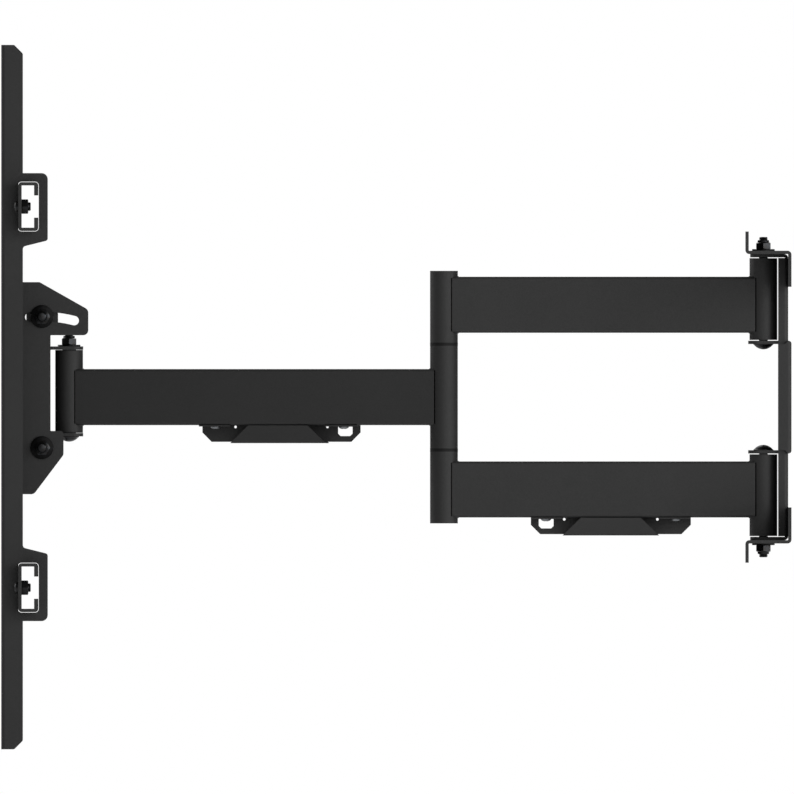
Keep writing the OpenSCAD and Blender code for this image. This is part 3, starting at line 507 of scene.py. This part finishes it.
def flanged_bushing(shape, place, length, bore, rim, under, over, groove):
    """A sleeve and its flange, which lies from under to over the length and has a turned groove."""
    sleeve, foot, top = 9.5 * MM, length + under, length + over
    middle = (foot + top) / 2
    turned_ring(shape, place, [
        (bore, 0), (sleeve, 0), (sleeve, foot), (rim, foot), (rim, middle - groove),
        (rim - groove, middle), (rim, middle + groove), (rim, top), (bore, top)], 64)


# The flange fills the play up to the rear barrel
ring_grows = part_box("rear_arm_upper_right")[0].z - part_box("elbow_bushings_right")[1].z
for side in sides:
    finish_node(f"elbow_pin_{side}", zinc, None)
    finish_node(f"elbow_caps_{side}", nylon, 0.3 * MM)
    make_piece(f"elbow_flanged_bushings_{side}",
               every(f"elbow_bushings_{side}", outward_z, flanged_bushing, 6.05 * MM,
                     BARREL_RADIUS + 0.1 * MM, -2.8 * MM, ring_grows, 0.2 * MM),
               nylon, f"front_arm_{side}", "nylon", f"elbow_bushings_{side}")


# ---- Front arms: one welded arm a side, between the elbow and the head ----
# The same tube and barrels as the rear arms, in the same coat, painted darker as shade.
# Each leans inwards to its head pivot.

# Painted shade: this coat is darker than the rear arms' coat, standing for the shade of the arms'
# lean away from the key lamp
front_coat_painted_darker = powder_coat("black_powder_coat_front_arms_painted_shade", "#111111", "#141414")
head_nut_low, head_nut_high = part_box("head_pivot_nuts")
head_pivot_y = (head_nut_low.y + head_nut_high.y) / 2
head_pivot_x = head_nut_high.x - NUT_FLATS / math.cos(math.radians(30))
for side, sign in sides.items():
    finish_node(f"front_arm_{side}", front_coat_painted_darker, 0.4 * MM)
    far = Vector((sign * head_pivot_x, head_pivot_y, 0))
    lean = math.atan2(far.y - elbow[side].y, far.x - elbow[side].x)
    beads, groove_shade = bmesh.new(), bmesh.new()
    for axis, towards in ((elbow[side], lean), (far, lean + math.pi)):
        weld_bead(beads, axis, towards, -ARM_TALL / 2, -1)
        weld_bead(beads, axis, towards, ARM_TALL / 2, 1)
        cope_groove_shade(groove_shade, axis, towards, GROOVE_END - ARM_TALL / 2, ARM_TALL / 2 - GROOVE_END)
    make_piece(f"front_arm_welds_{side}", beads, front_coat_painted_darker, f"front_arm_{side}", "arm_coat")
    make_piece(f"front_arm_cope_grooves_{side}", groove_shade, groove_painted_shade, f"front_arm_{side}",
               "arm_coat")
# A thin flange under each ear; the barrel's end lies 0.4 mm past the bushing's sleeve
make_piece("head_flanged_bushings_right",
           every("head_bushings_right", outward_z, flanged_bushing, 4.05 * MM, BARREL_RADIUS,
                 0.4 * MM, 0.9 * MM, 0.1 * MM),
           nylon, "front_arm_right", "nylon", "head_bushings_right")


# ---- Cable trays: one under each front arm and each lower rear arm ----
# Black ABS, folded-looking mouldings with a window at one end and a tab at each end.
# Two round head screws hold each to its tube.

def moulded_abs(name, colours):
    """Injection moulded ABS with a light spark-eroded texture: a flat, slightly warm black."""
    material, tree = new_material(name)
    place = add_node(tree, "ShaderNodeTexCoord")
    # Mould texture, 0.7 mm
    skin = add_node(tree, "ShaderNodeTexVoronoi", {"Scale": 1 / (0.7 * MM)},
                    {"Vector": (place, "Object")})
    # Slow change of shade along the flow of the melt, 25 mm across
    flow = add_node(tree, "ShaderNodeTexNoise", {"Scale": 1 / (25 * MM), "Detail": 2.0},
                    {"Vector": (place, "Object")})
    shade = add_node(tree, "ShaderNodeValToRGB", links={"Fac": (flow, "Fac")})
    shade.color_ramp.elements[0].color = linear(colours[0])
    shade.color_ramp.elements[1].color = linear(colours[1])
    gloss = add_node(tree, "ShaderNodeMapRange",
                     {"From Min": 0.0, "From Max": 1.0, "To Min": 0.58, "To Max": 0.7},
                     {"Value": (skin, "Distance")})
    relief = add_node(tree, "ShaderNodeBump", {"Strength": 0.25, "Distance": 0.03 * MM},
                      {"Height": (skin, "Distance")})
    body = add_node(tree, "ShaderNodeBsdfPrincipled", {"IOR": 1.54},
                    {"Base Color": (shade, "Color"), "Roughness": (gloss, "Result"),
                     "Normal": (relief, "Normal")})
    add_node(tree, "ShaderNodeOutputMaterial", links={"Surface": (body, "BSDF")})
    return material


def cross_head_screw(shape, place, length, head=4.6 * MM, rise=2.4 * MM, shank=2 * MM):
    """Round head with a cross recess at the foot, and a plain shank up into the work."""
    # The recess: half the width of an arm, its reach and depth, and how far its wall leans
    arm, reach, deep, lean = 0.55 * MM, 2.4 * MM, 1.5 * MM, 0.2 * MM
    steps, crown_rings, domed = 96, 24, 0.9
    rings = []
    for k in range(1, crown_rings + 1):
        radius = head * k / crown_rings
        crown = rise * (1 - math.sqrt(max(0, 1 - (radius / head) ** 2))) * domed
        ring = []
        for x, y, _ in circle(radius, 0, steps):
            off = min(abs(x), abs(y))
            wall = max(0, min(1, (arm + lean / 2 - off) / lean))
            recess = deep * max(0, 1 - radius / reach) ** 0.5 * wall if radius < reach else 0
            ring.append((x, y, crown + recess))
        rings.append(ring)
    rings += [circle(head, rise - 0.2 * MM, steps), circle(head - 0.2 * MM, rise, steps),
              circle(shank, rise, steps), circle(shank, length - 0.6 * MM, steps),
              circle(shank - 0.6 * MM, length, steps)]
    skin_rings(shape, place, rings)


def upward(middle):
    return (0, 0, 1), (1, 0, 0)


bright_zinc = zinc_plate("clear_passivated_zinc_plate", ("#6e7074", "#838587"))
tray_plastic = moulded_abs("black_moulded_abs", ("#0d0d0d", "#101010"))
for side in sides:
    for tier, body in (("rear", f"rear_arms_{side}"), ("front", f"front_arm_{side}")):
        finish_node(f"{tier}_cable_tray_{side}", tray_plastic, 0.25 * MM)
        make_piece(f"{tier}_tray_cross_head_screws_{side}",
                   every(f"{tier}_tray_screws_{side}", upward, cross_head_screw), bright_zinc,
                   body, "black_zinc", f"{tier}_tray_screws_{side}")


# ---- Head bracket: the folded plate between the arms and the screen frame ----
# 3 mm steel in one blank: a web, an ear above and below, and a flange at each side.
# Powder coated like the arms; the two head pivot bolts run through its ears.

head_coat = powder_coat("black_polyester_powder_coat_head", "#131313", "#171717")
finish_node("head_bracket", head_coat, 0.35 * MM)
make_piece("head_pivot_coach_bolts", every("head_pivot_bolts", upward, coach_bolt), zinc, "head",
           "black_zinc", "head_pivot_bolts")
make_piece("head_pivot_stamped_washers",
           every("head_pivot_washers", upward, washer, 10.2 * MM, 4.2 * MM), washer_steel,
           "head", "black_zinc", "head_pivot_washers")
make_piece("head_pivot_lock_nuts", every("head_pivot_nuts", upward, lock_nut), zinc, "head",
           "black_zinc", "head_pivot_nuts")
make_piece("head_pivot_nut_inserts", every("head_pivot_nuts", upward, nylon_insert), nylon, "head",
           "nylon")
finish_node("head_pivot_sleeve", zinc, None)


# ---- Tilt bolts: the axis and the lock, two each side ----
# Coach bolts from inside the head's flanges, with a friction disc between the plates.
# Wide washers and lock nuts set how stiffly the screen tips.

def outboard(middle):
    return (1 if middle.x > 0 else -1, 0, 0), (0, 1, 0)


make_piece("tilt_coach_bolts", every("tilt_bolts", outboard, coach_bolt), zinc, "head",
           "black_zinc", "tilt_bolts")
finish_node("tilt_friction_discs", nylon, None)
make_piece("tilt_wide_washers",
           every("tilt_washers", outboard, washer, 10.4 * MM, 4.1 * MM), washer_steel,
           "head", "black_zinc", "tilt_washers")
make_piece("tilt_lock_nuts", every("tilt_nuts", outboard, lock_nut), zinc, "head", "black_zinc",
           "tilt_nuts")
make_piece("tilt_nut_inserts", every("tilt_nuts", outboard, nylon_insert), nylon, "head", "nylon")


# ---- Screen frame: two tilt plates and two slotted rails ----
# The plates are folded 3 mm steel; the rails are channels that open towards the wall.
# All of it is powder coated, and bolted through the plates' front flanges.

screen_coat = powder_coat("black_polyester_powder_coat_screen_side", "#131313", "#171717")
for name in ("tilt_plate_right", "tilt_plate_left", "tv_rail_upper", "tv_rail_lower"):
    finish_node(name, screen_coat, 0.35 * MM)


def wallward(middle):
    return (0, 1, 0), (1, 0, 0)


make_piece("rail_coach_bolts", every("rail_bolts", wallward, coach_bolt), zinc, "tilt_frame",
           "black_zinc", "rail_bolts")


def plain_nut(shape, place, tall):
    """Hexagon with a countersunk mouth at each end of its thread."""
    hexagon(shape, place, ((NUT_BORE + 0.9 * MM, tall), (NUT_BORE, tall - 0.5 * MM),
                           (NUT_BORE, 0.4 * MM)))


make_piece("rail_hexagon_nuts", every("rail_nuts", wallward, plain_nut), zinc, "tilt_frame",
           "black_zinc", "rail_nuts")


def stop_screw(shape, place, length):
    """Pan head outside the rail's web, and a threaded tip past its nut."""
    head, rise, thread, steps = 4.7 * MM, 3.4 * MM, 7 * MM, 40
    profile = [(0.05 * MM, 0), (2.2 * MM, 0.05 * MM), (3.6 * MM, 0.35 * MM), (4.4 * MM, 1.0 * MM),
               (head, 1.8 * MM), (head, rise - 0.1 * MM), (head - 0.1 * MM, rise),
               (BOLT_RADIUS, rise)]
    rings = [circle(r, z, steps) for r, z in profile]
    rings += threaded_tip(length - thread, length, steps)
    skin_rings(shape, place, rings)


make_piece("rail_stop_screws", every("stop_screws", wallward, stop_screw), zinc, "tilt_frame",
           "black_zinc", "stop_screws")
make_piece("rail_stop_hexagon_nuts", every("stop_nuts", wallward, plain_nut), zinc, "tilt_frame",
           "black_zinc", "stop_nuts")


# ---- Screen brackets: the two uprights that bolt to the television ----
# Folded 3 mm steel channels, each with a window in its hooks through which the rails run.
# Powder coated; they slide along the rails to suit the screen.

for name in ("tv_bracket_right", "tv_bracket_left"):
    finish_node(name, screen_coat, 0.35 * MM)


# ---- Stage, light and camera ----
# A plain pale floor just under the mount, soft studio light and a level view from the side.

low, high = cad_box
floor_drop, floor_reach = 25 * MM, 6.0
sheet = bmesh.new()
sheet.faces.new([sheet.verts.new((x * floor_reach, y * floor_reach, low.z - floor_drop))
                 for x, y in ((-1, -1), (1, -1), (1, 1), (-1, 1))])
floor_mesh = bpy.data.meshes.new("studio_floor")
sheet.to_mesh(floor_mesh)
sheet.free()
floor = bpy.data.objects.new("studio_floor", floor_mesh)
bpy.context.scene.collection.objects.link(floor)
floor_paint, tree = new_material("matt_white_floor_paint")
place = add_node(tree, "ShaderNodeTexCoord")
# Marks of the paint roller, 4 mm
roller = add_node(tree, "ShaderNodeTexNoise", {"Scale": 1 / (4 * MM), "Detail": 2.0},
                  {"Vector": (place, "Object")})
relief = add_node(tree, "ShaderNodeBump", {"Strength": 0.1, "Distance": 0.1 * MM},
                  {"Height": (roller, "Fac")})
paint = add_node(tree, "ShaderNodeBsdfPrincipled",
                 {"Base Color": linear("#f2f2f2"), "Roughness": 0.9, "IOR": 1.5},
                 {"Normal": (relief, "Normal")})
add_node(tree, "ShaderNodeOutputMaterial", links={"Surface": (paint, "BSDF")})
floor_mesh.materials.append(floor_paint)

world = bpy.data.worlds.new("studio")
bpy.context.scene.world = world
world.use_nodes = True
tree = world.node_tree
tree.nodes.clear()
rays = add_node(tree, "ShaderNodeLightPath")
# The walls of the studio: dim where the coats mirror them, brighter as even light on the floor
walls = add_node(tree, "ShaderNodeMath", {1: 0.38, 2: 0.22}, {0: (rays, "Is Diffuse Ray")},
                 operation="MULTIPLY_ADD")
lit = add_node(tree, "ShaderNodeBackground", {"Color": linear("#ffffff")},
               {"Strength": (walls, 0)})
white = add_node(tree, "ShaderNodeBackground", {"Color": linear("#ffffff"), "Strength": 1.0})
both = add_node(tree, "ShaderNodeMixShader",
                links={0: (rays, "Is Camera Ray"), 1: (lit, 0), 2: (white, 0)})
add_node(tree, "ShaderNodeOutputWorld", links={"Surface": (both, 0)})


def soft_box(name, spot, aim, size, power):
    """A square studio lamp at spot that faces aim."""
    lamp = bpy.data.lights.new(name, "AREA")
    lamp.size = size
    lamp.energy = power
    holder = bpy.data.objects.new(name, lamp)
    holder.location = spot
    holder.rotation_euler = (Vector(aim) - Vector(spot)).to_track_quat("-Z", "Y").to_euler()
    bpy.context.scene.collection.objects.link(holder)


middle = (low + high) / 2
soft_box("key", (1.8, 2.0, 0.3), middle, 2.2, 55)
soft_box("fill", (3.4, 0.3, 0.6), middle, 1.8, 20)
soft_box("front", (-1.0, -2.4, 0.8), middle, 1.8, 20)
soft_box("back", (-2.2, -0.4, 1.6), middle, 1.8, 20)

camera = bpy.data.cameras.new("side_view")
camera.type = "ORTHO"
camera.ortho_scale = 714.6 * MM
camera.clip_end = 20
view = bpy.data.objects.new("side_view", camera)
view.location = (3.0, -355.05 * MM, 0.1 * MM)
view.rotation_euler = (math.radians(90), 0, math.radians(90))
bpy.context.scene.collection.objects.link(view)
bpy.context.scene.camera = view
bpy.context.scene.view_settings.view_transform = "Standard"
